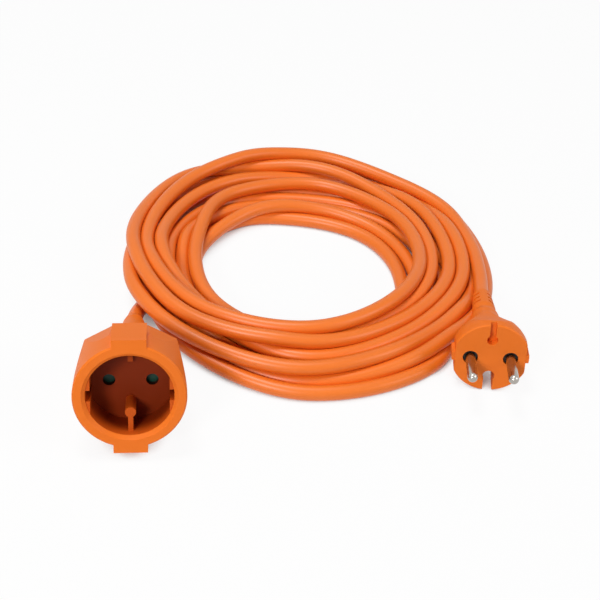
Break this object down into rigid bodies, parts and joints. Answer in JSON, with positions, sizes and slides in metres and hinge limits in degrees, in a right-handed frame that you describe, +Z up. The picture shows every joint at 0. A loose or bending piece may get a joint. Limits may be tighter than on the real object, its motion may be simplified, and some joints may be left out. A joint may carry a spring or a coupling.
{
  "type": "extension cord",
  "caption": "Coiled two-core mains extension cord with a moulded round-pin plug, a shuttered round-well coupler and tapered strain reliefs.",
  "frame": {"origin": "on the floor under the middle of the box round the plug and the coupler", "axes": "+Z up, +X from the coupler's side to the plug's side, -Y the way both ends face"},
  "size_m": [0.2086, 0.2543, 0.057],
  "materials": {
    "cord_pvc": "smooth soft PVC, slight sheen",
    "body_pvc": "matt moulded PVC with a fine grain",
    "lining_plastic": "hard moulded plastic, fine satin",
    "black_plastic": "hard moulded plastic, satin",
    "shutter_plastic": "hard moulded plastic, satin",
    "nickel": "bright nickel plate",
    "contact_brass": "stamped and rolled brass",
    "copper": "stranded bare copper",
    "spring_steel": "drawn wire",
    "core_brown": "smooth PVC",
    "core_blue": "smooth PVC"
  },
  "bodies": {
    "root": {"plug_body": "body_pvc", "plug_carrier": "black_plastic", "plug_pin_left": "nickel", "plug_pin_right": "nickel", "plug_core_brown": "core_brown", "plug_core_blue": "core_blue", "plug_wires": "copper", "plug_strain_relief": "body_pvc", "plug_sheath_end": "cord_pvc", "coupler_housing": "body_pvc", "well_lining": "lining_plastic", "shutter_spring": "spring_steel", "contact_block": "black_plastic", "contact_left": "contact_brass", "contact_right": "contact_brass", "block_cover": "black_plastic", "coupler_core_brown": "core_brown", "coupler_core_blue": "core_blue", "coupler_wires": "copper", "coupler_strain_relief": "body_pvc", "coupler_sheath_end": "cord_pvc", "cord_to_plug": "cord_pvc", "cord_coil": "cord_pvc", "cord_to_coupler": "cord_pvc"},
    "shutter": {"shutter": "shutter_plastic"}
  },
  "joints": [
    {"name": "shutter_turn", "type": "hinge", "parent": "root", "child": "shutter", "pos_m": [-0.08045, -0.03432, 0.02525], "axis": [0.1341, -0.9543, 0.2672], "range_deg": [0, 40], "stiffness_Nm_per_rad": 0.001, "springref_deg": -17.19}
  ]
}
